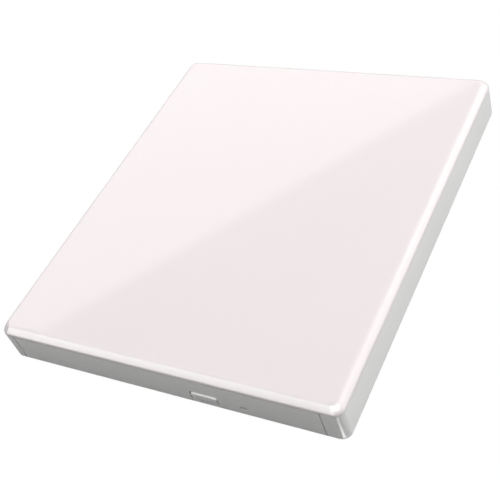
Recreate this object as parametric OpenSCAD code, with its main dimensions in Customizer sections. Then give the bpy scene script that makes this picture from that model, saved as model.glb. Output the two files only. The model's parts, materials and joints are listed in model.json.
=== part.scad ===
// Slim portable optical drive: a two-piece plastic case around a tray-loading disc drive,
// with the tray, its rails, the spindle, the pickup and the eject parts as separate pieces.
// Frame: origin on the standing plane under the centre of the case, +X along the tray front
// to the right, +Y to the back, +Z up. The tray is shown closed, the catch released.

/* [Case] */
// Overall width along the tray front
case_w = 135; // [135:0.5:140]
// Overall depth, front to back
case_d = 155; // [155:0.5:160]
// Height of the closed case without its feet
case_h = 16.2; // [16.2:0.1:18]
// Radius of the vertical corners
corner_r = 3.5; // [3.4:0.1:4.2]
// Radius of the rounding round the top edge
rim_r = 3.1; // [2:0.1:3.2]
// Radius of the rounding round the bottom edge
bottom_r = 1; // [0.6:0.1:1.2]
// How far the rubber feet stand out below the case
foot_h = 0.6; // [0.4:0.1:0.7]
// Thickness of the case walls
wall_t = 2; // [1.6:0.1:2.2]

/* [Tray front] */
// Width of the fixed post left of the tray front
post_left = 5.6; // [5.4:0.1:5.7]
// Width of the fixed post right of the tray front
post_right = 7.2; // [7:0.1:7.4]
// Gap round the tray front
front_gap = 0.4; // [0.3:0.05:0.5]
// Centre of the eject button from the middle of the case
button_x = 16.5; // [10:0.5:24]
// Width of the eject button
button_w = 10; // [8:0.5:12]
// Centre of the emergency eject hole from the middle of the case
pinhole_x = 31.4; // [29:0.1:36]

/* [Disc] */
// Radius of the round recess that holds the disc
recess_r = 60.6; // [60.4:0.1:60.8]
// Radius of the hub that centres the disc
hub_r = 7.35; // [7.3:0.01:7.4]
// Direction the pickup travels from the spindle, degrees
pickup_dir = -135; // [-135:0.5:-134]

/* [Back] */
// Centre of the data socket from the middle of the case
usb_x = 24; // [20:1:28]
// Centre of the power socket from the middle of the case
jack_x = 42; // [40:1:44]

/* [Part] */
// Which sub-part to draw, or all of them

/* [Hidden] */
$fn = 64;

// case
front_y = -case_d / 2;
back_y = case_d / 2;
floor_t = 1.3;
lip_t = 0.8;
rim_h = rim_r + 0.3;
top_t = 1.6;
floor_z = foot_h + floor_t;
top_z = foot_h + case_h;
seam_z = top_z - rim_h;
bay_x = (post_left - post_right) / 2;
bay_w = case_w - post_left - post_right;
post_d = 6;
screw_hole_r = 1.1;
screw_r = 0.95;
head_r = 1.7;
head_h = 1.4;
front_screw_x = case_w / 2 - 2.65;
front_screw_y = front_y + 3.9;
back_screw_x = case_w / 2 - 5.4;
back_screw_y = back_y - 5.4;
foot_r = 4.5;
foot_in = 0.5;
foot_x = 52;
foot_y = 62;

// drive pan and lid, a standard slim drive
pan_w = 128;
pan_l = 127;
pan_h = 12.7;
sheet = 0.6;
pan_y0 = front_y + post_d + 0.5;
pan_y1 = pan_y0 + pan_l;
pan_z = floor_z;
lid_t = 0.5;
pan_top = pan_z + pan_h - lid_t;
lid_screw_x = 56;
lid_screw_y = pan_y1 - 3.6;

// rails, measured outwards from the middle of the tray
rail_out = 61;
rail_y0 = pan_y0 + 0.5;
rail_l = 118;
rail_z = 4.9;
rail_h = 4.2;
run = 0.05;

// tray
bezel_t = 2.6;
bezel_z = foot_h + lip_t + 0.2;
bezel_top = seam_z - 0.25;
tray_y0 = front_y + bezel_t;
tray_y1 = front_y + 125.5;
tray_hw = 57.6;
wing_hw = 60.9;
tray_z = 3.8;
deck_z = 9.9;
wing_z = 10.1;
tray_top = 11.4;
spindle_x = bay_x;
spindle_y = front_y + 65.5;
tray_board_screw_x = [-22, 23];
tray_board_screw_y = 40;
tray_board_z = 5;
tray_board_t = 0.6;
button_h = 3.8;
button_z = 4.75;
button_r = 0.7;
button_gap = 0.5;
button_bevel = 1.2;
pinhole_w = 2.6;
pinhole_h = 1.2;
pinhole_z = button_z + 0.1;

// traverse, in its own frame: u outwards along the pickup travel, v across it
zc = 6.4;
rod_v = 11.5;
screw_v = 16;
pocket_u0 = 14.4;
pocket_u1 = 62.6;
lens_u = 24;
lens_r = 2.2;
opening_u = -19;
opening_v = -15.2;
opening_l = 82;
opening_w = 35;
frame_z0 = 4.2;
frame_z1 = 8.5;
isolator_uv = [[-13.6, -11.2], [-13.6, 16], [40, 21.5]];
disc_z = 10.4;
disc_top = disc_z + 1.2;

// boards
board_z = floor_z + 1.5;
board_t = 1;
board_top = board_z + board_t;
board_screw_x = [-32, 12];
board_screw_y = back_y - 10.5;
plug_x0 = -45;
plug_x1 = -24;
// chips: corner x, corner y, width, depth, height
bridge_parts = [[-10, 62, 9, 9, 1.2], [-20, 64, 5, 4, 1.4], [2, 67, 5, 4, 1.1], [-44, 66, 6, 5, 1.8]];
tray_chips = [[6, 22, 12, 12, 1.2], [-8, 34, 7, 7, 1], [8, 37, 5, 5, 1]];
drive_board_z = 3;
drive_board_t = 0.6;
drive_board_top = drive_board_z + drive_board_t;
board_post_x = [-48, -5];
pan_hole_x = 40;
pan_hole_r = 1.6;

// flat cable, folded back on itself under the tray
cable_x0 = -20;
cable_x1 = -8;
fold_y = -60;
cable_t = 0.12;
cable_rise_y = 30;

// catch
latch_x = 44;
latch_y = 34;
plunger_x = 34.9;
plunger_z = 6.2;
coil_x0 = 31;
coil_x1 = 38.8;
coil_y0 = 22;
coil_y1 = 29;

module rrect(w, d, r) {
  square([w - 2 * r, d], center = true);
  square([w, d - 2 * r], center = true);
  for (sx = [-1, 1], sy = [-1, 1])
    translate([sx * (w / 2 - r), sy * (d / 2 - r)]) circle(r = r);
}

module rbox(w, d, h, r) {
  linear_extrude(h) rrect(w, d, r);
}

// box given by its low and high corners
module span(a, b) {
  translate(a) cube(b - a);
}

// cylinder of radius r from z0 to z1 at [x, y]
module post(x, y, r, z0, z1) {
  translate([x, y, z0]) cylinder(r = r, h = z1 - z0);
}

module in_traverse() {
  translate([spindle_x, spindle_y, 0]) rotate([0, 0, pickup_dir]) children();
}

// rod along u at [v, z] from u0 to u1
module u_rod(v, z, r, u0, u1) {
  translate([u0, v, z]) rotate([0, 90, 0]) cylinder(r = r, h = u1 - u0);
}

module at_case_screws() {
  for (s = [-1, 1]) {
    translate([s * front_screw_x, front_screw_y, 0]) children();
    translate([s * back_screw_x, back_screw_y, 0]) children();
  }
}

// slab with rounded vertical corners; the child is the 2D profile of its top edge, f by f
module edged_slab(w, d, h, r, f) {
  rbox(w, d, h - f, r);
  rbox(w - 2 * f, d - 2 * f, h, r - f);
  translate([0, 0, h - f]) {
    for (s = [0, 1]) {
      mirror([0, s, 0]) translate([0, d / 2 - f, 0]) rotate([90, 0, 90])
        linear_extrude(w - 2 * r, center = true) children();
      mirror([s, 0, 0]) translate([w / 2 - f, 0, 0]) rotate([90, 0, 0])
        linear_extrude(d - 2 * r, center = true) children();
    }
    for (sx = [-1, 1], sy = [-1, 1])
      translate([sx * (w / 2 - r), sy * (d / 2 - r), 0])
        rotate_extrude() translate([r - f, 0]) children();
  }
}

module quarter(f) {
  intersection() {
    circle(r = f);
    square(f);
  }
}

module top_cover() {
  color([0.93, 0.915, 0.915]) difference() {
    translate([0, 0, seam_z]) edged_slab(case_w, case_d, rim_h, corner_r, rim_r) quarter(rim_r);
    difference() {
      translate([0, 0, seam_z - 1])
        rbox(case_w - 2 * wall_t, case_d - 2 * wall_t, rim_h - top_t + 1, corner_r - wall_t);
      at_case_screws() cylinder(r = 2.4, h = top_z);
    }
    at_case_screws() post(0, 0, screw_r + 0.03, seam_z - 1, top_z - 1);
  }
}

module bottom_case() {
  color([0.84, 0.84, 0.83]) difference() {
    translate([0, 0, seam_z]) mirror([0, 0, 1])
      edged_slab(case_w, case_d, seam_z - foot_h, corner_r, bottom_r) quarter(bottom_r);
    difference() {
      span([-case_w / 2 + wall_t, front_y + post_d, floor_z],
           [case_w / 2 - wall_t, back_y - wall_t, top_z]);
      for (s = [0, 1]) mirror([s, 0, 0])
        span([back_screw_x - 3.4, back_screw_y - 3.4, 0], [case_w / 2, back_y, top_z]);
      for (x = board_screw_x) post(x, board_screw_y, 2.5, 0, board_z);
    }
    span([-case_w / 2 + post_left, front_y - 1, foot_h + lip_t],
         [case_w / 2 - post_right, front_y + post_d + 0.5, top_z]);
    at_case_screws() {
      post(0, 0, screw_hole_r, 0, top_z);
      post(0, 0, head_r + 0.1, 0, foot_h + head_h + 0.1);
    }
    for (sx = [-1, 1], sy = [-1, 1])
      post(sx * foot_x, sy * foot_y, foot_r + 0.05, foot_h - 1, foot_h + foot_in);
    for (x = board_screw_x) post(x, board_screw_y, 0.73, floor_z - 0.6, board_z + 1);
    translate([0, 0, foot_h - 1]) rbox(62, 34, 1.15, 1.5);
    span([usb_x - 4.1, back_y - 3, board_top - 0.2], [usb_x + 4.1, back_y + 1, board_top + 4.2]);
    span([jack_x - 4.7, back_y - 3, board_top - 0.2], [jack_x + 4.7, back_y + 1, board_top + 7]);
  }
}

module rubber_feet() {
  color([0.2, 0.2, 0.2])
    for (sx = [-1, 1], sy = [-1, 1])
      post(sx * foot_x, sy * foot_y, foot_r, 0, foot_h + foot_in);
}

module case_screws() {
  color([0.55, 0.55, 0.57]) at_case_screws() difference() {
    union() {
      post(0, 0, head_r, foot_h + 0.1, foot_h + 0.1 + head_h);
      post(0, 0, screw_r, foot_h + head_h, top_z - 1.3);
    }
    for (a = [0, 90]) rotate([0, 0, a]) span([-1.1, -0.25, 0], [1.1, 0.25, foot_h + 0.8]);
  }
}

module rating_label() {
  color([0.9, 0.9, 0.88]) translate([0, 0, foot_h + 0.03]) rbox(61.4, 33.4, 0.1, 1.2);
}

module drive_pan() {
  color([0.72, 0.73, 0.74]) difference() {
    span([-pan_w / 2, pan_y0, pan_z], [pan_w / 2, pan_y1, pan_top]);
    span([-pan_w / 2 + sheet, pan_y0 - 1, pan_z + sheet],
         [pan_w / 2 - sheet, pan_y1 - sheet, pan_top + 1]);
    span([plug_x0 - 1, pan_y1 - 2, pan_z + 1.4], [plug_x1 + 1, pan_y1 + 1, pan_z + 7]);
    for (s = [-1, 1]) post(s * pan_hole_x, pan_y0 + 18, pan_hole_r, 0, 5);
  }
  color([0.72, 0.73, 0.74]) {
    for (x = board_post_x) post(x, pan_y1 - 4, 1.4, pan_z + 0.1, drive_board_z);
    for (s = [-1, 1]) difference() {
      post(s * lid_screw_x, lid_screw_y, 2, pan_z + 0.1, pan_top);
      post(s * lid_screw_x, lid_screw_y, 0.83, pan_top - 3, pan_top + 1);
    }
  }
}

module drive_lid() {
  skirt_h = 4;
  color([0.78, 0.79, 0.8]) difference() {
    span([-pan_w / 2 - 0.55, pan_y0, pan_top - skirt_h],
         [pan_w / 2 + 0.55, pan_y1 + 0.55, pan_top + lid_t]);
    span([-pan_w / 2 - 0.05, pan_y0 - 1, pan_top - skirt_h - 1],
         [pan_w / 2 + 0.05, pan_y1 + 0.05, pan_top]);
    for (s = [-1, 1]) post(s * lid_screw_x, lid_screw_y, 0.9, pan_top - 1, pan_top + 1);
  }
}

module lid_screws() {
  color([0.5, 0.5, 0.52])
    for (s = [-1, 1]) difference() {
      union() {
        post(s * lid_screw_x, lid_screw_y, 1.6, pan_top + 0.5, pan_top + 0.95);
        post(s * lid_screw_x, lid_screw_y, 0.8, pan_top - 2.5, pan_top + 0.6);
      }
      for (a = [0, 90]) translate([s * lid_screw_x, lid_screw_y, pan_top + 0.75]) rotate([0, 0, a])
        translate([-1, -0.2, 0]) cube([2, 0.4, 1]);
    }
}

// one fixed guide on the right, mirrored for the left
module guide() {
  gy0 = rail_y0 - 0.3;
  gy1 = rail_y0 + 122;
  x0 = rail_out - 1.6;
  x1 = rail_out + run + 0.8;
  difference() {
    span([x0, gy0, pan_z + sheet], [x1, gy1, rail_z + rail_h + run + 0.8]);
    span([x0 - 1, gy0 - 1, rail_z - run], [rail_out + run, gy1 - 1.2, rail_z + rail_h + run]);
    span([x0 - 1, gy0 - 1, pan_z], [rail_out + run, gy1 + 1, rail_z - run - 0.8]);
  }
}

module left_guide() {
  color([0.66, 0.67, 0.68]) translate([bay_x, 0, 0]) mirror([1, 0, 0]) guide();
}

module right_guide() {
  color([0.66, 0.67, 0.68]) translate([bay_x, 0, 0]) guide();
}

// one sliding rail on the right, a channel open towards the tray
module rail() {
  web = 0.7;
  difference() {
    span([rail_out - 2.4, rail_y0, rail_z], [rail_out, rail_y0 + rail_l, rail_z + rail_h]);
    span([rail_out - 3, rail_y0 - 1, rail_z + web],
         [rail_out - web, rail_y0 + rail_l + 1, rail_z + rail_h - web]);
  }
}

module left_rail() {
  color([0.8, 0.8, 0.82]) translate([bay_x, 0, 0]) mirror([1, 0, 0]) rail();
}

module right_rail() {
  color([0.8, 0.8, 0.82]) translate([bay_x, 0, 0]) rail();
}

// outline of the opening in the tray deck over the traverse, and of its cover plate
module traverse_outline(grow) {
  translate([opening_u - grow, opening_v - grow])
    square([opening_l + 2 * grow, opening_w + 2 * grow]);
}

module tray() {
  wall = 1.2;
  color([0.16, 0.16, 0.17]) difference() {
    union() {
      translate([bay_x, 0, 0]) {
        span([-tray_hw, tray_y0, tray_z], [tray_hw, tray_y1, tray_top]);
        span([-wing_hw, tray_y0, wing_z], [wing_hw, tray_y1, tray_top]);
        for (s = [-1, 1])
          span([s > 0 ? tray_hw - 0.5 : -rail_out + 0.75, rail_y0, rail_z + 0.75],
               [s > 0 ? rail_out - 0.75 : -tray_hw + 0.5, tray_y1, rail_z + rail_h - 0.75]);
      }
    }
    // space under the deck, with bosses for the board
    difference() {
      translate([bay_x, 0, 0])
        span([-tray_hw + wall, tray_y0 + 1.6, tray_z - 1],
             [tray_hw - wall, tray_y1 - wall, deck_z - 0.9]);
      for (x = tray_board_screw_x) post(x, tray_board_screw_y, 1.8, tray_board_z + tray_board_t, tray_top);
    }
    for (x = tray_board_screw_x) post(x, tray_board_screw_y, 0.73, tray_z, 8.5);
    // disc recess
    post(spindle_x, spindle_y, recess_r, deck_z, tray_top + 1);
    // opening over the traverse
    in_traverse() translate([0, 0, deck_z - 2]) linear_extrude(3) intersection() {
      traverse_outline(-1);
      circle(r = recess_r - 0.4);
    }
    in_traverse() translate([0, 0, deck_z - 0.35]) linear_extrude(3) intersection() {
      traverse_outline(0.05);
      circle(r = recess_r - 0.15);
    }
    // passage for the button stem
    span([button_x - 2.2, tray_y0 - 1, button_z - 0.5], [button_x + 2.2, tray_y0 + 2, button_z + 1.7]);
    // rod passage behind the emergency eject hole
    translate([pinhole_x, tray_y0 - 1, pinhole_z]) rotate([-90, 0, 0]) cylinder(r = 0.8, h = 4);
  }
}

module bezel_hole(w, h, r) {
  translate([0, front_y - 1, 0]) rotate([-90, 0, 0]) linear_extrude(6) rrect(w, h, r);
}

module tray_bezel() {
  color([0.83, 0.83, 0.82]) difference() {
    span([-case_w / 2 + post_left + front_gap, front_y, bezel_z],
         [case_w / 2 - post_right - front_gap, tray_y0, bezel_top]);
    translate([button_x, 0, button_z])
      bezel_hole(button_w + 2 * button_gap, button_h + 2 * button_gap, button_r + button_gap);
    translate([pinhole_x, 0, pinhole_z]) bezel_hole(pinhole_w, pinhole_h, 0.5);
  }
}

module eject_button() {
  color([0.85, 0.85, 0.84]) difference() {
    union() {
      translate([button_x, front_y, button_z]) rotate([-90, 0, 0])
        linear_extrude(1.6) rrect(button_w, button_h, button_r);
      span([button_x - 2, front_y + 1.5, button_z - 0.4], [button_x + 2, tray_y0 + 2.2, button_z + 1.6]);
    }
    // bevel along the upper edge of the face
    translate([button_x - button_w, front_y, button_z + button_h / 2 - button_bevel])
      rotate([-45, 0, 0]) translate([0, -2, 0]) cube([2 * button_w, 2, 2]);
  }
}

module switch_plunger() {
  color([0.1, 0.1, 0.1])
    span([button_x - 0.8, tray_y0 + 2.25, button_z], [button_x + 0.8, tray_y0 + 3.6, button_z + 1.2]);
}

module eject_switch() {
  y0 = tray_y0 + 2.9;
  color([0.6, 0.6, 0.6]) difference() {
    span([button_x - 2.6, y0, button_z - 0.3], [button_x + 2.6, y0 + 2.6, button_z + 2.2]);
    span([button_x - 0.85, y0 - 1, button_z - 0.05], [button_x + 0.85, y0 + 1.5, button_z + 1.25]);
  }
}

module switch_board() {
  z0 = button_z - 0.9;
  color([0.12, 0.35, 0.2]) difference() {
    span([5, tray_y0 + 2.8, z0], [50, tray_y0 + 8, z0 + 0.6]);
    in_traverse() translate([0, 0, z0 - 1]) linear_extrude(3) traverse_outline(1);
  }
}

module tray_under_cover() {
  color([0.75, 0.76, 0.77]) difference() {
    translate([bay_x, 0, 0])
      span([-tray_hw + 0.4, tray_y0 + 0.8, tray_z - 0.4], [tray_hw - 0.4, tray_y1 - 0.4, tray_z]);
    // openings for the flat cable and for the hook of the catch
    span([cable_x0 - 4, cable_rise_y - 2, 0], [cable_x1 + 4, cable_rise_y + 4, tray_z + 1]);
    span([latch_x - 3, latch_y + 5, 0], [latch_x + 7, latch_y + 11, tray_z + 1]);
  }
}

module traverse_cover() {
  color([0.3, 0.3, 0.32]) in_traverse() translate([0, 0, deck_z - 0.35]) difference() {
    linear_extrude(0.35) intersection() {
      traverse_outline(0);
      circle(r = recess_r - 0.3);
    }
    translate([0, 0, -1]) cylinder(r = 14.6, h = 3);
    translate([0, 0, -1]) linear_extrude(3) {
      translate([10, -7.5]) square([47.2, 15]);
      translate([57, 0]) circle(r = 2.7);
    }
  }
}

module traverse_chassis() {
  color([0.6, 0.61, 0.62]) in_traverse() difference() {
    union() {
      translate([opening_u + 2, opening_v + 0.6, frame_z0]) cube([82, 34, frame_z1 - frame_z0]);
      post(isolator_uv[2][0], isolator_uv[2][1], 3.6, frame_z0, frame_z1);
    }
    translate([pocket_u0, -13.6, 0]) cube([pocket_u1 - pocket_u0, 32.2, 20]);
    cylinder(r = 12, h = 20);
    translate([-12, 11.3, 0]) cube([18.5, 7.3, 20]);
    for (v = [-rod_v, rod_v]) u_rod(v, zc, 1.02, pocket_u0 - 2, pocket_u1 + 1.6);
    u_rod(screw_v, zc, 0.84, 5, pocket_u1 + 1.6);
    for (p = isolator_uv) post(p[0], p[1], 2.05, 0, 20);
  }
}

module isolators() {
  color([0.25, 0.2, 0.2]) in_traverse()
    for (p = isolator_uv) translate([p[0], p[1], 0]) difference() {
      post(0, 0, 2, tray_z, deck_z - 1.1);
      post(0, 0, 0.8, tray_z - 1, deck_z);
    }
}

module guide_rods() {
  color([0.85, 0.85, 0.87]) in_traverse()
    for (v = [-rod_v, rod_v]) u_rod(v, zc, 1, pocket_u0 - 1.9, pocket_u1 + 1.5);
}

// shaft with evenly pitched grooves along its length
module lead_screw() {
  pitch = 3;
  turns = 15;
  u0 = pocket_u0 + 1;
  color([0.82, 0.82, 0.84]) in_traverse() {
    translate([u0, screw_v, zc]) rotate([0, 90, 0]) rotate_extrude()
      polygon(concat([[0, 0]], [for (i = [0 : turns - 1], p = [[1.1, 0], [1.5, 0.4], [1.5, 1.9], [1.1, 2.3]])
        [p[0], p[1] + i * pitch]], [[1.1, turns * pitch], [0, turns * pitch]]));
    u_rod(screw_v, zc, 0.8, 1, u0 + 0.1);
    u_rod(screw_v, zc, 0.8, u0 + turns * pitch - 0.1, pocket_u1 + 1.5);
  }
}

module sled_motor() {
  color([0.7, 0.7, 0.72]) in_traverse() difference() {
    intersection() {
      u_rod(screw_v - 1, zc, 3.6, -11.5, 6.4);
      translate([-20, 0, zc - 2.15]) cube([40, 30, 4.3]);
    }
    u_rod(screw_v, zc, 0.84, 0.9, 8);
    span([-30, 5, 0], [30, 11.4, 20]);
  }
}

module pickup_sled() {
  color([0.55, 0.56, 0.58]) in_traverse() difference() {
    union() {
      translate([lens_u - 9, -13.2, 4.5]) cube([14, 26.4, 4]);
      translate([lens_u - 5, 12, 4.5]) cube([6, 6.3, 3.9]);
    }
    for (v = [-rod_v, rod_v]) u_rod(v, zc, 1.05, 0, 90);
    u_rod(screw_v, zc, 1.6, 0, 90);
    // well for the lens holder
    translate([lens_u - 5.2, -6.4, 6]) cube([9, 12.8, 5]);
  }
}

module lens_holder() {
  color([0.1, 0.1, 0.11]) in_traverse() difference() {
    translate([lens_u - 4.4, -5, 6.7]) cube([7, 10, 2.5]);
    post(lens_u, 0, lens_r + 0.05, 8.1, 12);
    post(lens_u, 0, 1.5, 5, 12);
  }
}

module objective_lens() {
  color([0.75, 0.85, 0.95]) in_traverse() {
    post(lens_u, 0, lens_r, 8.1, 8.9);
    intersection() {
      translate([lens_u, 0, 6.9]) sphere(r = 2.7);
      post(lens_u, 0, 1.9, 8.5, 12);
    }
  }
}

module spindle_motor() {
  color([0.7, 0.71, 0.72]) translate([spindle_x, spindle_y, 0]) difference() {
    union() {
      post(0, 0, 13.5, tray_z, 4.2);
      post(0, 0, 8.5, 4.1, 6.1);
      post(0, 0, 2.4, 6, 6.9);
    }
    post(0, 0, 1.03, 4.55, 9);
  }
}

module spindle_rotor() {
  slot_w = 3.1;
  color([0.2, 0.2, 0.21]) translate([spindle_x, spindle_y, 0]) difference() {
    union() {
      post(0, 0, 1, 4.7, 8);
      post(0, 0, 11.2, 6.3, 9);
      post(0, 0, 14, 8.9, 9.8);
      post(0, 0, hub_r, 9.7, disc_top);
      translate([0, 0, disc_top]) cylinder(r1 = hub_r, r2 = hub_r - 1.15, h = 1.3);
    }
    difference() {
      post(0, 0, 10.4, 6, 8.2);
      post(0, 0, 1, 4, 9);
    }
    for (a = [90, 210, 330]) rotate([0, 0, a]) span([3, -slot_w / 2, 11.1], [9, slot_w / 2, 12.45]);
  }
}

module turntable_ring() {
  color([0.3, 0.3, 0.3]) translate([spindle_x, spindle_y, 0]) difference() {
    post(0, 0, 13.8, 9.8, disc_z);
    post(0, 0, 11.6, 9, 12);
  }
}

// a claw at angle a, whose nose stands out over the edge of the disc's hole
module disc_claw(a) {
  color([0.9, 0.9, 0.88]) translate([spindle_x, spindle_y, 0]) rotate([90, 0, a])
    linear_extrude(3, center = true)
      polygon([[4, 11.15], [7.2, 11.15], [7.25, disc_top + 0.05], [8, disc_top + 0.2],
               [7.9, 12.05], [7, 12.4], [4, 12.4]]);
}

module disc_claw_1() {
  disc_claw(90);
}

module disc_claw_2() {
  disc_claw(210);
}

module disc_claw_3() {
  disc_claw(330);
}

// circuit board under the deck, at the back of the tray
module tray_board() {
  color([0.1, 0.32, 0.2]) difference() {
    span([-26, 18, tray_board_z], [27, 44, tray_board_z + tray_board_t]);
    for (x = tray_board_screw_x) post(x, tray_board_screw_y, 0.9, tray_board_z - 1, tray_board_z + 1);
  }
}

module tray_board_chips() {
  color([0.09, 0.09, 0.1])
    for (c = tray_chips) translate([c[0], c[1], tray_board_z + tray_board_t]) cube([c[2], c[3], c[4]]);
}

module latch_lever() {
  color([0.88, 0.88, 0.86]) difference() {
    union() {
      post(latch_x, latch_y, 2.4, 4.2, 6.6);
      span([latch_x - 1.2, latch_y, 4.2], [latch_x + 1.2, latch_y + 9, 6.2]);
      span([latch_x - 1.2, latch_y + 7.2, 2.9], [latch_x + 3.2, latch_y + 9, 5]);
      span([latch_x - 9, latch_y - 1, 4.2], [latch_x, latch_y + 1, 6.2]);
    }
    post(latch_x, latch_y, 1.05, 0, 9);
  }
}

module latch_pivot() {
  color([0.7, 0.7, 0.72]) {
    post(latch_x, latch_y, 1, tray_z, 7.6);
    post(latch_x, latch_y, 1.7, 6.7, 7.2);
  }
}

module solenoid_frame() {
  color([0.6, 0.6, 0.62]) difference() {
    span([coil_x0 - 1, coil_y0 - 0.6, tray_z], [coil_x1 + 1.2, coil_y1 + 0.6, 8.4]);
    span([coil_x0 - 2, coil_y0, 4.6], [coil_x1 + 2.2, coil_y1, 7.7]);
    translate([plunger_x, 25, plunger_z]) rotate([-90, 0, 0]) cylinder(r = 1.2, h = 10);
  }
}

module solenoid_coil() {
  color([0.7, 0.35, 0.15]) difference() {
    span([coil_x0, coil_y0, 4.65], [coil_x1, coil_y1, 7.65]);
    translate([plunger_x, coil_y0 + 0.5, plunger_z]) rotate([-90, 0, 0]) cylinder(r = 1.1, h = 20);
  }
}

module solenoid_plunger() {
  color([0.75, 0.75, 0.77]) translate([plunger_x, 24, plunger_z]) rotate([-90, 0, 0])
    cylinder(r = 1, h = 8.9);
}

module lock_pin() {
  color([0.7, 0.7, 0.72]) post(latch_x + 4.6, latch_y + 5, 1.1, pan_z + sheet, pan_z + sheet + 0.8);
}

module flat_cable() {
  t = cable_t;
  low = pan_z + sheet + 0.05;
  high = tray_z - 0.6;
  mid = (low + high + t) / 2;
  back = tray_y1 + 0.6;
  color([0.92, 0.92, 0.9]) {
    span([cable_x0, fold_y, low], [cable_x1, back, low + t]);
    span([cable_x0, fold_y, high], [cable_x1, cable_rise_y + 0.1, high + t]);
    span([cable_x0, cable_rise_y, high], [cable_x1, cable_rise_y + t, tray_board_z]);
    span([cable_x0, back - t, low], [cable_x1, back, drive_board_top + 0.7]);
    span([cable_x0, back - t, drive_board_top + 0.6], [cable_x1, back + 2, drive_board_top + 0.6 + t]);
    translate([cable_x0, fold_y, mid]) rotate([90, 0, 90]) linear_extrude(cable_x1 - cable_x0)
      intersection() {
        difference() {
          circle(r = mid - low);
          circle(r = mid - low - t);
        }
        translate([-2, -2]) square([2, 4]);
      }
  }
}

module drive_board() {
  color([0.1, 0.32, 0.2]) span([-52, tray_y1 + 1, drive_board_z],
                                   [-2, pan_y1 - sheet - 0.2, drive_board_top]);
}

module cable_socket() {
  y0 = tray_y1 + 1.2;
  color([0.9, 0.88, 0.8]) difference() {
    span([cable_x0 - 1.5, y0, drive_board_top], [cable_x1 + 1.5, y0 + 3, drive_board_top + 1.6]);
    span([cable_x0 - 0.1, y0 - 1, drive_board_top + 0.5], [cable_x1 + 0.1, y0 + 1.8, drive_board_top + 0.8]);
  }
}

module drive_plug() {
  y0 = pan_y1 - 3.6;
  color([0.08, 0.08, 0.09]) difference() {
    span([plug_x0, y0, drive_board_top], [plug_x1, pan_y1 + 0.4, 8]);
    span([plug_x0 + 1.5, y0 + 1, 4.9], [plug_x1 - 1.5, pan_y1 + 2, 6.9]);
  }
}

module bridge_board() {
  color([0.1, 0.3, 0.45]) difference() {
    span([-50, pan_y1 + 1, board_z], [52, back_y - wall_t - 0.3, board_z + board_t]);
    for (x = board_screw_x) post(x, board_screw_y, 0.9, 0, 9);
  }
}

module bridge_chips() {
  color([0.09, 0.09, 0.1])
    for (c = bridge_parts) translate([c[0], c[1], board_top]) cube([c[2], c[3], c[4]]);
}

module bridge_socket() {
  y0 = pan_y1 + 1.1;
  color([0.07, 0.07, 0.08]) {
    span([plug_x0 - 1, y0, board_top], [plug_x1 + 1, y0 + 4.4, board_top + 3.6]);
    span([plug_x0 + 1.7, y0 - 3.6, 5.1], [plug_x1 - 1.7, y0 + 1, 6.7]);
  }
}

module usb_port() {
  z0 = board_top;
  y1 = back_y - 0.2;
  y0 = y1 - 9;
  color([0.82, 0.82, 0.83]) difference() {
    span([usb_x - 3.85, y0, z0], [usb_x + 3.85, y1, z0 + 3.9]);
    span([usb_x - 3.4, y0 + 1, z0 + 0.45], [usb_x + 3.4, y1 + 1, z0 + 3.45]);
  }
  color([0.1, 0.1, 0.1]) span([usb_x - 2.2, y0 + 0.9, z0 + 0.85], [usb_x + 2.2, y1 - 1.5, z0 + 1.5]);
}

module power_jack() {
  z0 = board_top;
  zj = z0 + 3.4;
  y1 = back_y - 0.2;
  y0 = y1 - 11;
  color([0.08, 0.08, 0.08]) difference() {
    span([jack_x - 4.5, y0, z0], [jack_x + 4.5, y1, z0 + 6.8]);
    translate([jack_x, y0 + 2, zj]) rotate([-90, 0, 0]) cylinder(r = 1.8, h = 20);
  }
  color([0.8, 0.7, 0.4]) translate([jack_x, y0 + 1.9, zj]) rotate([-90, 0, 0]) cylinder(r = 0.65, h = 7.6);
}

module board_screws() {
  color([0.55, 0.55, 0.57]) {
    for (x = board_screw_x) {
      post(x, board_screw_y, 1.8, board_top, board_top + 0.9);
      post(x, board_screw_y, 0.7, floor_z + 0.2, board_top + 0.1);
    }
  }
}

// from below, through the board into the bosses under the deck
module tray_board_screws() {
  color([0.55, 0.55, 0.57])
    for (x = tray_board_screw_x) {
      post(x, tray_board_screw_y, 1.4, tray_board_z - 0.6, tray_board_z);
      post(x, tray_board_screw_y, 0.7, tray_board_z - 0.1, 8.2);
    }
}

top_cover();
bottom_case();
rubber_feet();
case_screws();
rating_label();
drive_pan();
drive_lid();
lid_screws();
left_guide();
right_guide();
left_rail();
right_rail();
tray();
tray_bezel();
eject_button();
switch_plunger();
eject_switch();
switch_board();
tray_under_cover();
traverse_cover();
traverse_chassis();
isolators();
guide_rods();
lead_screw();
sled_motor();
pickup_sled();
lens_holder();
objective_lens();
spindle_motor();
spindle_rotor();
turntable_ring();
disc_claw_1();
disc_claw_2();
disc_claw_3();
tray_board();
tray_board_chips();
latch_lever();
latch_pivot();
solenoid_coil();
solenoid_frame();
solenoid_plunger();
lock_pin();
flat_cable();
drive_board();
cable_socket();
drive_plug();
bridge_board();
bridge_chips();
bridge_socket();
usb_port();
power_jack();
board_screws();
tray_board_screws();
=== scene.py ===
"""Looks of a slim portable disc drive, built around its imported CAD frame.

The CAD nodes keep their shapes and get softened edges and node materials. The outer cover, the flat
cable, the lead screw and the fine detail of the boards, ports and tray are built here in mesh code.
The scene is in metres: +X right along the tray front, +Y back, +Z up. Sizes of the pieces built here
are in millimetres and are multiplied by MM, most of them where the vertices are made.
"""

import json
import math
import random

import bmesh
import bpy
from mathutils import Matrix, Vector


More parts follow.
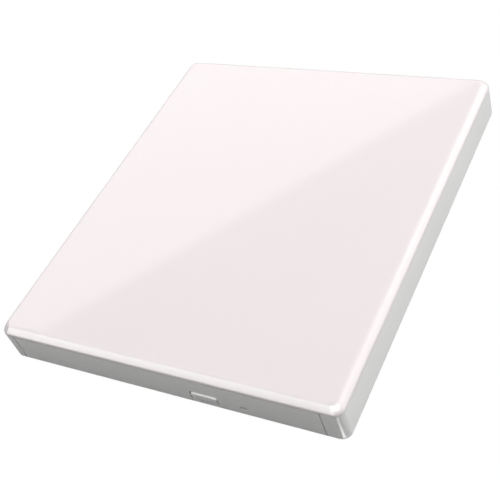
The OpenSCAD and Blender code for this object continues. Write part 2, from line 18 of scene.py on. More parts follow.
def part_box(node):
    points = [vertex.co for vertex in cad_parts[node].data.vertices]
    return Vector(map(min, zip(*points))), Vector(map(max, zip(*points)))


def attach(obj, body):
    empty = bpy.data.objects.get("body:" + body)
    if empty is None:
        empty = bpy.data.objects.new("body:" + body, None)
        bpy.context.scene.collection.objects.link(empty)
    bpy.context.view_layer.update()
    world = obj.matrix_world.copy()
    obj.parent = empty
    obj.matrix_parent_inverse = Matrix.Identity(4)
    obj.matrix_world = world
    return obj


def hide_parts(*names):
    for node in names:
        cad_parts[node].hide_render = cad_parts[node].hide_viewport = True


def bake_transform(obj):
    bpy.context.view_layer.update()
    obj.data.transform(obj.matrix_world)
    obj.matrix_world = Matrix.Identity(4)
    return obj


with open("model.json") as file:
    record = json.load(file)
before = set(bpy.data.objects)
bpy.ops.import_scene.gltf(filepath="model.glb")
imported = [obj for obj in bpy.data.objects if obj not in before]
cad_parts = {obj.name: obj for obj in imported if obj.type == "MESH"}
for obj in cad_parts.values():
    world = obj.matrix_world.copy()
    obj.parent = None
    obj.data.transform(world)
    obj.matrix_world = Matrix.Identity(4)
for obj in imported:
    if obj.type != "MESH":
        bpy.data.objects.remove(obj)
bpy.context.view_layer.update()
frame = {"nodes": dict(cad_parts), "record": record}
NODES = frame["nodes"]
MM = 0.001
rng = random.Random(7)


# ---------------------------------------------------------------- node materials


class Nodes:
    """A material's node tree with short calls for the few nodes the finishes need."""

    def __init__(self, name):
        self.mat = bpy.data.materials.new(name)
        self.mat.use_nodes = True
        self.tree = self.mat.node_tree
        self.bsdf = self.tree.nodes["Principled BSDF"]
        self.coord = self.add("ShaderNodeTexCoord").outputs["Object"]

    def add(self, kind, **values):
        node = self.tree.nodes.new(kind)
        for key, value in values.items():
            if hasattr(node, key):
                setattr(node, key, value)
            else:
                node.inputs[key.replace("_", " ")].default_value = value
        return node

    def link(self, a, b):
        self.tree.links.new(a, b)

    def stretched(self, scale):
        mapping = self.add("ShaderNodeMapping")
        mapping.inputs["Scale"].default_value = scale
        self.link(self.coord, mapping.inputs["Vector"])
        return mapping.outputs["Vector"]

    def noise(self, scale, detail=3.0, rough=0.55, stretch=(1, 1, 1)):
        node = self.add("ShaderNodeTexNoise", Scale=scale, Detail=detail, Roughness=rough)
        self.link(self.stretched(stretch), node.inputs["Vector"])
        return node.outputs["Fac"]

    def spread(self, fac, low, high):
        """Maps the middle band of fac onto low..high."""
        node = self.add("ShaderNodeMapRange")
        node.inputs["From Min"].default_value = 0.3
        node.inputs["From Max"].default_value = 0.7
        node.inputs["To Min"].default_value = low
        node.inputs["To Max"].default_value = high
        self.link(fac, node.inputs["Value"])
        return node.outputs["Result"]

    def colours(self, fac, dark, light):
        ramp = self.add("ShaderNodeValToRGB")
        ramp.color_ramp.elements[0].position = 0.3
        ramp.color_ramp.elements[1].position = 0.7
        ramp.color_ramp.elements[0].color = (*dark, 1)
        ramp.color_ramp.elements[1].color = (*light, 1)
        self.link(fac, ramp.inputs["Fac"])
        self.link(ramp.outputs["Color"], self.bsdf.inputs["Base Color"])

    def bump(self, height, distance, strength):
        node = self.add("ShaderNodeBump", Strength=strength, Distance=distance)
        self.link(height, node.inputs["Height"])
        self.link(node.outputs["Normal"], self.bsdf.inputs["Normal"])

    def set(self, **values):
        for key, value in values.items():
            self.bsdf.inputs[key.replace("_", " ")].default_value = value


def shade(colour, factor):
    return tuple(min(1.0, c * factor) for c in colour)


def moulded(name, colour, rough, grain_mm, depth_mm, coat=0.0, vary=0.04):
    """Moulded plastic: a fine spark-eroded grain, faint colour drift and uneven gloss."""
    n = Nodes(name)
    drift = n.noise(18, 2)
    n.colours(drift, shade(colour, 1 - vary), shade(colour, 1 + vary))
    grain = n.noise(1 / (grain_mm * MM), 2, 0.6)
    n.link(n.spread(n.noise(160, 3), rough - 0.04, rough + 0.05), n.bsdf.inputs["Roughness"])
    n.bump(grain, depth_mm * MM, 0.6)
    n.set(Coat_Weight=coat, Coat_Roughness=0.08, IOR=1.5)
    return n.mat


def metal(name, colour, rough, grain=(1, 1, 1), scale=900, depth_mm=0.004, vary=0.06):
    """Sheet or turned metal: a stretched grain in its gloss and bump, with faint stains."""
    n = Nodes(name)
    n.set(Metallic=1.0)
    n.colours(n.noise(30, 4), shade(colour, 1 - vary), shade(colour, 1 + vary))
    streaks = n.noise(scale, 3, 0.6, grain)
    n.link(n.spread(streaks, rough - 0.07, rough + 0.09), n.bsdf.inputs["Roughness"])
    n.bump(streaks, depth_mm * MM, 0.5)
    return n.mat


def board_material(name, mask, copper):
    """Solder mask over copper tracks: the tracks stand proud and show lighter."""
    n = Nodes(name)
    tracks = n.add("ShaderNodeTexBrick", Scale=260, Mortar_Size=0.03, Bias=0.0)
    n.link(n.stretched((1, 1, 0)), tracks.inputs["Vector"])
    mix = n.add("ShaderNodeMix")
    mix.data_type = "RGBA"
    n.link(tracks.outputs["Fac"], mix.inputs["Factor"])
    mix.inputs["A"].default_value = (*mask, 1)
    mix.inputs["B"].default_value = (*copper, 1)
    n.link(mix.outputs["Result"], n.bsdf.inputs["Base Color"])
    n.bump(tracks.outputs["Fac"], 0.03 * MM, 0.6)
    n.set(Roughness=0.32, Coat_Weight=0.4, Coat_Roughness=0.15)
    return n.mat


def pearl_gloss():
    """Polished pearl-white cover: clear gloss over a faint pink-grey drift and fine pearl specks."""
    n = Nodes("pearl_gloss_white")
    n.colours(n.noise(7, 2), (0.875, 0.805, 0.81), (0.89, 0.82, 0.824))
    specks = n.noise(9000, 1)
    n.link(n.spread(specks, 0.30, 0.36), n.bsdf.inputs["Roughness"])
    n.bump(n.noise(45, 2), 0.012 * MM, 0.25)
    n.set(Coat_Weight=1.0, Coat_Roughness=0.05, Coat_IOR=1.5, IOR=1.45)
    return n.mat


def glass_lens():
    """Clear lens with a bluish coating."""
    n = Nodes("coated_lens")
    n.colours(n.noise(600, 1), (0.62, 0.74, 0.9), (0.72, 0.82, 0.95))
    n.set(Transmission_Weight=0.85, Roughness=0.03, IOR=1.6, Coat_Weight=0.6)
    n.set(Coat_Tint=(0.6, 0.7, 1.0, 1))
    return n.mat


def ribbon_film():
    """White film with its row of flat conductors showing through as faint lines."""
    n = Nodes("ribbon_film")
    wave = n.add("ShaderNodeTexWave", Scale=320.0)
    n.link(n.coord, wave.inputs["Vector"])
    n.colours(wave.outputs["Fac"], (0.62, 0.62, 0.6), (0.88, 0.88, 0.86))
    n.set(Roughness=0.35)
    n.bump(wave.outputs["Fac"], 0.02 * MM, 0.4)
    return n.mat


def winding():
    """Enamelled wire wound on the coil: fine turns as parallel ridges, with painted shade in the
    grooves between the turns and a painted highlight along their crests.
    """
    n = Nodes("copper_winding")
    wave = n.add("ShaderNodeTexWave", Scale=1500.0, bands_direction="Y")
    n.link(n.coord, wave.inputs["Vector"])
    # dark-to-light bands across each turn: painted shade in the grooves, painted highlight on the
    # crests
    n.colours(wave.outputs["Fac"], (0.32, 0.11, 0.04), (0.8, 0.38, 0.17))
    n.set(Metallic=0.85, Roughness=0.3)
    n.bump(wave.outputs["Fac"], 0.08 * MM, 0.8)
    return n.mat


MATERIALS = {
    "cover_gloss_white": pearl_gloss(),
    "case_white": moulded("satin_case_plastic", (0.79, 0.79, 0.78), 0.36, 0.22, 0.004, coat=0.5,
                          vary=0.015),
    "black_rubber": moulded("black_rubber", (0.02, 0.02, 0.02), 0.75, 0.3, 0.02, vary=0.2),
    "plated_steel": metal("plated_steel", (0.62, 0.62, 0.64), 0.28),
    "label_paper": moulded("label_stock", (0.78, 0.78, 0.76), 0.6, 0.15, 0.004),
    "zinc_sheet": metal("galvanised_sheet", (0.56, 0.57, 0.58), 0.36, (1, 0.04, 1), 1400),
    "rail_steel": metal("rail_steel", (0.7, 0.7, 0.72), 0.24, (1, 0.03, 1), 1800),
    "tray_plastic": moulded("tray_plastic", (0.035, 0.035, 0.038), 0.48, 0.35, 0.02, vary=0.12),
    "black_plastic": moulded("black_moulding", (0.015, 0.015, 0.016), 0.42, 0.25, 0.01, vary=0.2),
    "circuit_board": board_material("green_board", (0.012, 0.10, 0.045), (0.03, 0.19, 0.09)),
    "circuit_board_blue": board_material("blue_board", (0.01, 0.05, 0.14), (0.03, 0.11, 0.24)),
    "dark_sheet": metal("dark_coated_sheet", (0.10, 0.10, 0.11), 0.42, (1, 0.08, 1), 1200),
    "cast_zinc": metal("cast_zinc", (0.48, 0.49, 0.5), 0.5, (1, 1, 1), 1600, 0.03),
    "polished_rod": metal("polished_steel", (0.8, 0.8, 0.82), 0.1, (1, 1, 1), 2500, 0.001),
    "lens_glass": glass_lens(),
    "rotor_plastic": moulded("rotor_plastic", (0.06, 0.06, 0.065), 0.3, 0.4, 0.006, coat=0.3, vary=0.1),
    "natural_plastic": moulded("natural_acetal", (0.76, 0.75, 0.71), 0.4, 0.3, 0.006),
    "copper_coil": winding(),
    "ribbon_film": ribbon_film(),
    "port_shell": metal("nickel_shell", (0.72, 0.71, 0.69), 0.18, (1, 0.2, 1), 1500, 0.002),
}
GOLD = metal("gold_contacts", (0.85, 0.62, 0.24), 0.2)
TIN = metal("solder_tin", (0.66, 0.67, 0.69), 0.26)
CERAMIC = moulded("chip_ceramic", (0.42, 0.30, 0.2), 0.45, 0.1, 0.003)


# ---------------------------------------------------------------- mesh helpers


def box_mm(node):
    """A CAD node's low and high corners, in millimetres."""
    return [[v / MM for v in corner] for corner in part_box(node)]


def new_object(name, bm, material):
    mesh = bpy.data.meshes.new(name)
    bm.to_mesh(mesh)
    bm.free()
    for face in mesh.polygons:
        face.use_smooth = True
    mesh.materials.append(material)
    obj = bpy.data.objects.new(name, mesh)
    bpy.context.scene.collection.objects.link(obj)
    return obj


def soften(obj, width_mm, segments=2, angle=30):
    """Merges, flattens and rounds a CAD mesh's edges without touching the mesh itself."""
    weld = obj.modifiers.new("weld", "WELD")
    weld.merge_threshold = 0.002 * MM
    flat = obj.modifiers.new("flat", "DECIMATE")
    flat.decimate_type = "DISSOLVE"
    flat.angle_limit = math.radians(0.5)
    bevel = obj.modifiers.new("edges", "BEVEL")
    bevel.width = width_mm * MM
    bevel.segments = segments
    bevel.limit_method = "ANGLE"
    bevel.angle_limit = math.radians(angle)
    bevel.use_clamp_overlap = True
    bevel.harden_normals = True
    for face in obj.data.polygons:
        face.use_smooth = True
    obj.modifiers.new("normals", "WEIGHTED_NORMAL").keep_sharp = True


def skin(bm, rings):
    """Joins each ring of vertices to the next one with four-sided faces."""
    for a, b in zip(rings, rings[1:]):
        for i in range(len(a)):
            j = (i + 1) % len(a)
            bm.faces.new((a[i], a[j], b[j], b[i]))


def close_rings(bm, rings):
    """Skins a row of rings and closes both ends."""
    skin(bm, rings)
    bm.faces.new(list(reversed(rings[0])))
    bm.faces.new(rings[-1])


# ---------------------------------------------------------------- carried-over CAD nodes

SLOT_OF = {part["node"]: part["material_slot"] for part in frame["record"]["subparts"]}
EDGE_MM = {"bottom_case": 0.3, "tray": 0.12, "tray_bezel": 0.25, "eject_button": 0.2,
           "rubber_feet": 0.2}
PLAIN_EDGE_MM = 0.06
for node_name, node in NODES.items():
    node.data.materials.clear()
    node.data.materials.append(MATERIALS[SLOT_OF[node_name]])
    soften(node, EDGE_MM.get(node_name, PLAIN_EDGE_MM))


# ---------------------------------------------------------------- outer cover


def rounded_loop(half_w, half_d, radius, steps):
    """Points round a rectangle with rounded corners, the same number of them at any size."""
    points = []
    for quarter, (sx, sy) in enumerate(((1, 1), (-1, 1), (-1, -1), (1, -1))):
        for i in range(steps + 1):
            a = math.radians(90 * quarter + 90 * i / steps)
            points.append((sx * (half_w - radius) + radius * math.cos(a),
                           sy * (half_d - radius) + radius * math.sin(a)))
    return points


def band_rows(top):
    """The cover's rounded edge from its flat top down to the seam, as (inset, height).

    Three arcs run into each other: a turn off the top, a long easy slope and a turn into the side.
    """
    drop, upper, lower = 3.1 * MM, 1.8 * MM, 1.6 * MM
    ends = [math.radians(a) for a in (0, 45, 60, 88)]
    cos = [math.cos(a) for a in ends]
    slope = (drop - upper * (cos[0] - cos[1]) - lower * (cos[2] - cos[3])) / (cos[1] - cos[2])
    out, height, rows = 0.0, top, []
    for radius, start, end in zip((upper, slope, lower), ends, ends[1:]):
        for i in range(13):
            a = start + (end - start) * i / 12
            rows.append((out + radius * (math.sin(a) - math.sin(start)),
                         height - radius * (math.cos(start) - math.cos(a))))
        out, height = rows.pop()
    rows.append((out, height))
    return [(out - reach, z) for reach, z in rows]


def build_cover():
    """The shell over the case, open below, with corners that tighten from the seam to the top."""
    low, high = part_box("top_cover")
    half_w, half_d = high[0], high[1]
    corner, top_corner = 3.5 * MM, 2.6 * MM
    foot = low[2] + 0.1 * MM
    rim = band_rows(high[2])
    band = rim[0][0]
    # from the foot's small chamfer up the side, over the rounded edge and onto the flat top
    rows = [(0.1 * MM, foot), (0.0, foot + 0.1 * MM)]
    rows += rim[::-1] + [(4 * MM, high[2]), (12 * MM, high[2])]
    steps = 16
    bm = bmesh.new()
    loops = []
    for inset, z in rows:
        radius = corner - (corner - top_corner) * min(inset / band, 1.0)
        loops.append([bm.verts.new((x, y, z))
                      for x, y in rounded_loop(half_w - inset, half_d - inset, radius, steps)])
    skin(bm, loops)
    bm.faces.new(loops[-1])
    # inner side: a shallow pan, so the cover reads as a shell from below
    wall = 2.0 * MM
    roof = high[2] - 1.6 * MM
    inner = []
    for inset, z in ((wall - 0.2 * MM, foot), (wall, foot + 0.2 * MM), (wall, roof)):
        inner.append([bm.verts.new((x, y, z))
                      for x, y in rounded_loop(half_w - inset, half_d - inset, corner - wall, steps)])
    skin(bm, [loops[0]] + inner)
    bm.faces.new(list(reversed(inner[-1])))
    bmesh.ops.recalc_face_normals(bm, faces=bm.faces)
    cover = new_object("cover_shell", bm, MATERIALS["cover_gloss_white"])
    cover.modifiers.new("normals", "WEIGHTED_NORMAL").keep_sharp = True
    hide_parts("top_cover")
    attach(cover, "case")


build_cover()


# ---------------------------------------------------------------- flat cable


def strip(name, path, x0, x1, thickness, columns=6):
    """Thin band swept along (y, z) points in millimetres, divided finely along its length and across
    its width.
    """
    bm = bmesh.new()
    rows = []
    for k, (y, z) in enumerate(path):
        ahead = Vector(path[min(k + 1, len(path) - 1)])
        behind = Vector(path[max(k - 1, 0)])
        along = (ahead - behind).normalized()
        off = Vector((-along.y, along.x)) * (thickness / 2)
        rows.append([[bm.verts.new((x * MM, (y + side * off.x) * MM, (z + side * off.y) * MM))
                      for x in (x0 + (x1 - x0) * c / columns for c in range(columns + 1))]
                     for side in (-1, 1)])
    for a, b in zip(rows, rows[1:]):
        for c in range(columns):
            bm.faces.new((a[0][c], a[0][c + 1], b[0][c + 1], b[0][c]))
            bm.faces.new((a[1][c + 1], a[1][c], b[1][c], b[1][c + 1]))
        bm.faces.new((a[0][0], b[0][0], b[1][0], a[1][0]))
        bm.faces.new((b[0][-1], a[0][-1], a[1][-1], b[1][-1]))
    for end in (rows[0], rows[-1]):
        for c in range(columns):
            bm.faces.new((end[0][c], end[1][c], end[1][c + 1], end[0][c + 1]))
    bmesh.ops.recalc_face_normals(bm, faces=bm.faces)
    obj = new_object(name, bm, MATERIALS["ribbon_film"])
    obj.modifiers.new("edges", "EDGE_SPLIT").split_angle = math.radians(50)
    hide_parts("flat_cable")
    return obj


def rounded_path(corners, radius, step):
    """Points along a polyline with its corners turned by a radius, never further apart than step."""
    points = [Vector(corners[0])]
    for a, b, c in zip(corners, corners[1:], corners[2:]):
        a, b, c = Vector(a), Vector(b), Vector(c)
        into, out = (b - a).normalized(), (c - b).normalized()
        start, end = b - into * radius, b + out * radius
        points += [start.lerp(b, t).lerp(b.lerp(end, t), t) for t in (i / 6 for i in range(7))]
    points.append(Vector(corners[-1]))
    dense = [points[0]]
    for a, b in zip(points, points[1:]):
        parts = max(1, math.ceil((b - a).length / step))
        dense += [a.lerp(b, i / parts) for i in range(1, parts + 1)]
    return [tuple(p) for p in dense]


def build_ribbon():
    """Lower run from the drive board ending in a half-round fold, upper run from the fold up to the
    tray.
    """
    thick, turn, step = 0.12, 0.4, 2.0
    plug_height, plug_depth, tray_rise, cover_gap = 4.26, 2.0, 30.06, 0.2
    (x0, front, bottom), (x1, back, top) = box_mm("flat_cable")
    low = bottom + thick / 2
    high = box_mm("tray_under_cover")[0][2] - cover_gap + thick / 2
    bend = (high - low) / 2
    fold = front + bend + thick / 2
    case_rise = back - plug_depth
    upright = case_rise - thick / 2
    lower = rounded_path([(back, plug_height), (upright, plug_height), (upright, low), (fold, low)],
                         turn, step)
    lower += [(fold - bend * math.sin(a), low + bend - bend * math.cos(a))
              for a in (math.pi * i / 12 for i in range(1, 13))]
    upper = rounded_path([(fold, high), (tray_rise, high), (tray_rise, top)], turn, step)
    lower_run = strip("ribbon_lower_run", lower, x0, x1, thick)
    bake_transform(lower_run)
    upper_run = strip("ribbon_upper_run", upper, x0, x1, thick)
    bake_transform(upper_run)


# ---------------------------------------------------------------- lead screw and small screws

# the traverse's own frame: u outwards along the pickup's travel, v across it
SPINDLE = Vector((-0.8, -12.0, 0.0)) * MM
TRAVERSE = Matrix.Translation(SPINDLE) @ Matrix.Rotation(math.radians(-135), 4, "Z")


def build_lead_screw():
    """Shaft with one true helical groove, turned ends and a short chamfer on each."""
    v, z, shaft, core, crest, pitch = 16.0, 6.4, 0.8, 1.1, 1.5, 3.0
    thread0, thread1, end0, end1 = 15.4, 60.4, 1.0, 64.1
    chamfer, fade_length, flank, crest_end = 0.2, 0.4, 0.13, 0.76
    segments, step = 32, 0.15
    bm = bmesh.new()
    rings = []

    def ring(u, radii):
        points = []
        for i, r in enumerate(radii):
            a = 2 * math.pi * i / segments
            points.append(TRAVERSE @ (Vector((u, v + r * math.cos(a), z + r * math.sin(a))) * MM))
        rings.append([bm.verts.new(p) for p in points])

    def thread_radius(u, i):
        phase = ((u - thread0) / pitch - i / segments) % 1.0
        rise = max(0.0, min(1.0, phase / flank, (crest_end - phase) / flank))
        fade = max(0.0, min(1.0, (u - thread0) / fade_length, (thread1 - u) / fade_length))
        return core + (crest - core) * rise * fade

    for u, r in ((end0, shaft - chamfer), (end0 + chamfer, shaft), (thread0, shaft)):
        ring(u, [r] * segments)
    count = round((thread1 - thread0) / step)
    for k in range(count + 1):
        u = thread0 + (thread1 - thread0) * k / count
        ring(u, [thread_radius(u, i) for i in range(segments)])
    for u, r in ((thread1, shaft), (end1 - chamfer, shaft), (end1, shaft - chamfer)):
        ring(u, [r] * segments)
    close_rings(bm, rings)
    bmesh.ops.recalc_face_normals(bm, faces=bm.faces)
    screw = new_object("lead_screw_thread", bm, MATERIALS["polished_rod"])
    screw.modifiers.new("edges", "EDGE_SPLIT").split_angle = math.radians(40)
    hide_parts("lead_screw")
    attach(screw, "lead_screw")


def add_screw_head(bm, x, y, z, radius, height):
    """Low domed head with a cross recess, standing on (x, y, z), all in millimetres."""
    segments = 48
    arm, half = radius * 0.62, radius * 0.15

    def cross(a):
        c, s = max(abs(math.cos(a)), 1e-6), max(abs(math.sin(a)), 1e-6)
        return max(min(arm / c, half / s), min(arm / s, half / c))

    rows = [(radius, 0, False), (radius, height * 0.55, False), (radius * 0.93, height * 0.85, False),
            (radius * 0.8, height, False), (1.0, height, True), (0.96, height - 0.03, True),
            (0.8, height * 0.25, True)]
    rings = []
    for scale, rise, crossed in rows:
        ring = []
        for i in range(segments):
            a = 2 * math.pi * i / segments
            r = scale * cross(a) if crossed else scale
            spot = Vector((x + r * math.cos(a), y + r * math.sin(a), z + rise))
            ring.append(bm.verts.new(spot * MM))
        rings.append(ring)
    close_rings(bm, rings)


def add_detail(name, bm, material, body, edge_mm=0.0):
    """Turns a mesh into a piece that rides a body, with its edges rounded or, at 0, kept sharp."""
    bmesh.ops.recalc_face_normals(bm, faces=bm.faces)
    obj = new_object(name, bm, material)
    if edge_mm:
        soften(obj, edge_mm, 1)
    else:
        obj.modifiers.new("edges", "EDGE_SPLIT").split_angle = math.radians(40)
    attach(obj, body)


def build_cover_plate_screws():
    """The low screws that hold the plate over the traverse."""
    deck = box_mm("traverse_cover")[1][2]
    bm = bmesh.new()
    for u, v in ((-15.8, -12), (-15.8, 16.6), (49, 15.6), (51, -11.4)):
        spot = TRAVERSE @ (Vector((u, v, 0)) * MM)
        add_screw_head(bm, spot.x / MM, spot.y / MM, deck - 0.02, 1.4, 0.26)
    add_detail("cover_plate_screws", bm, MATERIALS["plated_steel"], "tray")


# ---------------------------------------------------------------- boards and ports


def add_block(bm, low, high):
    """Box between two corners given in millimetres."""
    (x0, y0, z0), (x1, y1, z1) = low, high
    ring = ((x0, y0), (x1, y0), (x1, y1), (x0, y1))
    a = [bm.verts.new((x * MM, y * MM, z0 * MM)) for x, y in ring]
    b = [bm.verts.new((x * MM, y * MM, z1 * MM)) for x, y in ring]
    close_rings(bm, [a, b])


def add_leg(bm, root, out, along, wide, drop):
    """Bent strip from a chip's side at root, out and down to the board, in millimetres."""
    thick = Vector((0, 0, 0.12))
    side = Vector(along) * (wide / 2)
    rings = []
    for reach, rise in ((0.0, 0.0), (0.3, 0.0), (0.45, -drop), (0.9, -drop)):
        centre = Vector(root) + Vector(out) * reach + Vector((0, 0, rise))
        corners = (centre - side, centre + side, centre + side + thick, centre - side + thick)
        rings.append([bm.verts.new(p * MM) for p in corners])
    close_rings(bm, rings)


def add_chip_legs(bm, chip, board_top):
    """Legs along all four sides of a chip given as x, y, width, depth, height."""
    x, y, w, d, h = chip
    pitch, wide = 0.8, 0.32
    drop = h * 0.45
    level = board_top + drop
    for length, along, sides in (
            (w, (1, 0, 0), (((0, 0), (0, -1, 0)), ((0, d), (0, 1, 0)))),
            (d, (0, 1, 0), (((0, 0), (-1, 0, 0)), ((w, 0), (1, 0, 0))))):
        count = int((length - pitch) / pitch) + 1
        first = (length - (count - 1) * pitch) / 2
        for k in range(count):
            at = first + k * pitch
            for (dx, dy), out in sides:
                root = (x + dx + along[0] * at, y + dy + along[1] * at, level)
                add_leg(bm, root, out, along, wide, drop)


def scatter_parts(bodies, caps, area, top, count, keep_out):
    """Small parts with tinned ends at grid points of a board, clear of the larger pieces on it."""
    x0, y0, x1, y1 = area
    grid, clear, max_tries, proud = 0.5, 1.6, 600, 0.03
    placed = []
    tries = 0
    while len(placed) < count and tries < max_tries:
        tries += 1
        x = x0 + round(rng.random() * (x1 - x0) / grid) * grid
        y = y0 + round(rng.random() * (y1 - y0) / grid) * grid
        if any(a - clear < x < a + w + clear and b - clear < y < b + d + clear
               for a, b, w, d in keep_out):
            continue
        if any(abs(x - a) < clear + 1.0 and abs(y - b) < clear for a, b in placed):
            continue
        placed.append((x, y))
        half, wide, high = rng.choice(((0.8, 0.4, 0.5), (0.8, 0.45, 0.45), (1.0, 0.6, 0.7)))
        add_block(bodies, (x - half * 0.6, y - wide, top), (x + half * 0.6, y + wide, top + high))
        for side in (-1, 1):
            near, far = sorted((x + side * half * 0.55, x + side * half))
            add_block(caps, (near, y - wide - proud, top), (far, y + wide + proud, top + high + proud))


def build_boards():
    """Chip legs, small parts and their solder on the bridge board and on the tray's board."""
    bridge_chips = ((-10, 62, 9, 9, 1.2), (-20, 64, 5, 4, 1.4), (2, 67, 5, 4, 1.1))
    tray_chips = ((6, 22, 12, 12, 1.2), (-8, 34, 7, 7, 1), (8, 37, 5, 5, 1))
    # ground that the chips and the connectors and screws take, as x, y, width, depth
    bridge_clear = [c[:4] for c in bridge_chips]
    bridge_clear += [(-44, 66, 6, 5), (-46, 56, 23, 6), (-34, 65, 4, 4), (10, 65, 4, 4),
                     (19, 64, 10, 12), (37, 62, 10, 14)]
    tray_clear = [c[:4] for c in tray_chips]
    tray_clear += [(-24.5, 37.5, 5, 5), (20.5, 37.5, 5, 5), (-24, 27, 20, 6)]
    for name, node, chips, area, clear, count, body in (
            ("bridge", "bridge_board", bridge_chips, (-47, 59.5, 49, 73), bridge_clear, 34, "case"),
            ("tray", "tray_board", tray_chips, (-24, 20, 25, 42), tray_clear, 26, "tray")):
        top = box_mm(node)[1][2]
        tin, ceramic = bmesh.new(), bmesh.new()
        for chip in chips:
            add_chip_legs(tin, chip, top)
        scatter_parts(ceramic, tin, area, top, count, clear)
        add_detail(name + "_board_solder", tin, TIN, body, 0.02)
        add_detail(name + "_board_parts", ceramic, CERAMIC, body, 0.03)


def build_contacts():
    """Gold strips on the tongue of the data port and feet along the back of the cable socket."""
    bm = bmesh.new()
    (x0, y0, z0), (x1, y1, _) = box_mm("usb_port")
    tongue, spacing, half = z0 + 1.5, 0.8, 0.2
    for k in range(-2, 3):
        x = (x0 + x1) / 2 + k * spacing
        add_block(bm, (x - half, y0 + 1.2, tongue - 0.03), (x + half, y1 - 1.7, tongue + 0.05))
    (x0, _, z0), (x1, y1, _) = box_mm("cable_socket")
    pins, margin, half = 11, 2.0, 0.15
    for k in range(pins):
        x = x0 + margin + (x1 - x0 - 2 * margin) * k / (pins - 1)
        add_block(bm, (x - half, y1 - 0.02, z0), (x + half, y1 + 0.7, z0 + 0.14))
    add_detail("port_contacts", bm, GOLD, "case", 0.02)


build_ribbon()
build_lead_screw()
build_cover_plate_screws()
build_boards()
build_contacts()


# ---------------------------------------------------------------- floor, light and camera


def soft_box(name, centre, across, along, radiance, role):
    """An evenly bright rectangle facing the object; role says if it lights, is mirrored, or both."""
    across, along, centre = Vector(across), Vector(along), Vector(centre)
    away = across.cross(along).normalized()
    if away.dot(centre) < 0:
        across, away = -across, -away
    data = bpy.data.lights.new(name, "AREA")
    data.shape = "RECTANGLE"
    data.size, data.size_y = across.length, along.length
    data.energy = radiance * math.pi * across.length * along.length
    obj = bpy.data.objects.new(name, data)
    turn = Matrix((across.normalized(), along.normalized(), away)).transposed().to_4x4()
    obj.matrix_world = Matrix.Translation(centre) @ turn
    obj.visible_camera = False
    obj.visible_diffuse = role in ("lights", "both")
    obj.visible_glossy = role in ("mirrored", "both")
    bpy.context.scene.collection.objects.link(obj)


def build_lights():
    soft_box("key_right", (0.76, 0.46, 0.52), (0.52, 0, -0.76), (0, 1.0, 0), 3.3, "lights")
    soft_box("fill_left", (-0.50, -0.26, 0.90), (0.9, 0, 0.5), (0, 1.0, 0.29), 1.65, "lights")
    soft_box("fill_top", (0.1, 0.45, 0.95), (0.7, 0, 0), (0, 0.63, -0.3), 1.6, "lights")
    # its near edge makes the diagonal boundary in the glossy top
    soft_box("card_back_left", (-0.829, 0.729, 0.617), (0.538, 0.722, 0), (-0.722, 0.538, 0), 1.24,
             "both")
    # mirrored in the cover's rounded edge along the front, and in two strips along the right
    soft_box("card_front", (-0.37, -0.676, 0.335), (0, 0.33, 0.67), (1.2, 0, 0), 4.6, "mirrored")
    soft_box("card_front_high", (-0.53, -0.125, 0.84), (0.765, 0, 0.477), (-0.03, 0.447, 0.05), 1.6,
             "mirrored")
    soft_box("card_right_high", (0.69, 0.62, 0.30), (0.125, 0, -0.20), (0, 1.0, 0), 2.5, "mirrored")
    soft_box("card_right_low", (0.78, 0.62, 0.072), (0, 0, 0.135), (0, 1.0, 0), 2.2, "mirrored")
    soft_box("card_near_corner", (0.56, -0.48, 0.62), (-0.24, 0.24, 0.40), (0.83, 0.98, 0), 5.0,
             "mirrored")
    # lies on the floor facing up: mirrored as a line up the near corner
    soft_box("card_corner_line", (0.0681, -0.0819, 0.0006), (0.00146, 0.00066, 0),
             (0.0038, -0.0084, 0.0004), 5.0, "mirrored")


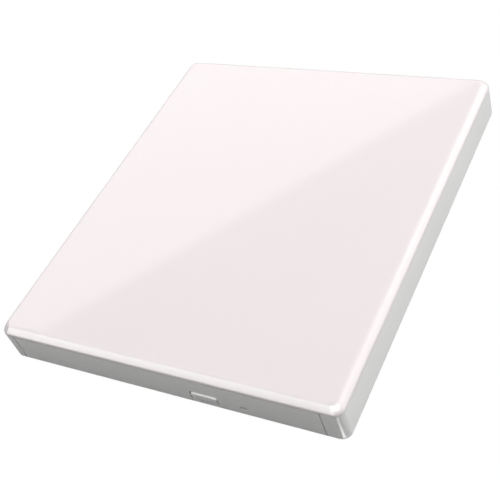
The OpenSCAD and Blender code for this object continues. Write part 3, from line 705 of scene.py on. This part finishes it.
def floor_material():
    """Pale matt floor. The camera sees it close to white, with only a trace of the contact shadow."""
    glow_strength, glow_share = 1.06, 0.93
    n = Nodes("pale_floor")
    n.colours(n.noise(3, 2), (0.42, 0.42, 0.42), (0.44, 0.44, 0.44))
    n.set(Roughness=0.9)
    glow = n.add("ShaderNodeEmission")
    glow.inputs["Color"].default_value = (1, 1, 1, 1)
    glow.inputs["Strength"].default_value = glow_strength
    seen = n.add("ShaderNodeLightPath").outputs["Is Camera Ray"]
    amount = n.add("ShaderNodeMath", operation="MULTIPLY")
    amount.inputs[1].default_value = glow_share
    n.link(seen, amount.inputs[0])
    mix = n.add("ShaderNodeMixShader")
    n.link(amount.outputs[0], mix.inputs[0])
    n.link(n.bsdf.outputs[0], mix.inputs[1])
    n.link(glow.outputs[0], mix.inputs[2])
    n.link(mix.outputs[0], n.tree.nodes["Material Output"].inputs["Surface"])
    return n.mat


def build_floor():
    bm = bmesh.new()
    bmesh.ops.create_grid(bm, x_segments=8, y_segments=8, size=4)
    floor = new_object("floor", bm, floor_material())
    floor.location = (0, 0, -0.05 * MM)


def build_world():
    """A dim even room that the camera sees as white."""
    dim, mirrored_extra, camera_extra = 0.10, 0.25, 0.9
    world = bpy.data.worlds.new("studio")
    world.use_nodes = True
    bpy.context.scene.world = world
    tree = world.node_tree
    room = tree.nodes["Background"]
    room.inputs["Color"].default_value = (1, 1, 1, 1)
    rays = tree.nodes.new("ShaderNodeLightPath").outputs
    level = tree.nodes.new("ShaderNodeValue")
    level.outputs[0].default_value = dim
    for ray, extra in (("Is Glossy Ray", mirrored_extra), ("Is Camera Ray", camera_extra)):
        total = tree.nodes.new("ShaderNodeMath")
        total.operation = "MULTIPLY_ADD"
        total.inputs[1].default_value = extra
        tree.links.new(rays[ray], total.inputs[0])
        tree.links.new(level.outputs[0], total.inputs[2])
        level = total
    tree.links.new(level.outputs[0], room.inputs["Strength"])


def build_camera():
    """Camera high at the front right, rolled so that the object leans as it does in the photo."""
    data = bpy.data.cameras.new("camera")
    data.sensor_width = 36
    data.lens = 69.05
    data.clip_start = 0.01
    camera = bpy.data.objects.new("camera", data)
    place = Vector((172.3, -203.9, 249.9)) * MM
    target = Vector((5.6, -17.0, 8.6)) * MM
    roll = math.radians(-22.24)
    ahead = (target - place).normalized()
    level = ahead.cross(Vector((0, 0, 1))).normalized()
    lift = level.cross(ahead)
    right = level * math.cos(roll) + lift * math.sin(roll)
    up = lift * math.cos(roll) - level * math.sin(roll)
    turn = Matrix((right, up, -ahead)).transposed().to_4x4()
    camera.matrix_world = Matrix.Translation(place) @ turn
    bpy.context.scene.collection.objects.link(camera)
    bpy.context.scene.camera = camera


build_floor()
build_world()
build_lights()
build_camera()
scene = bpy.context.scene
scene.view_settings.view_transform = "Standard"
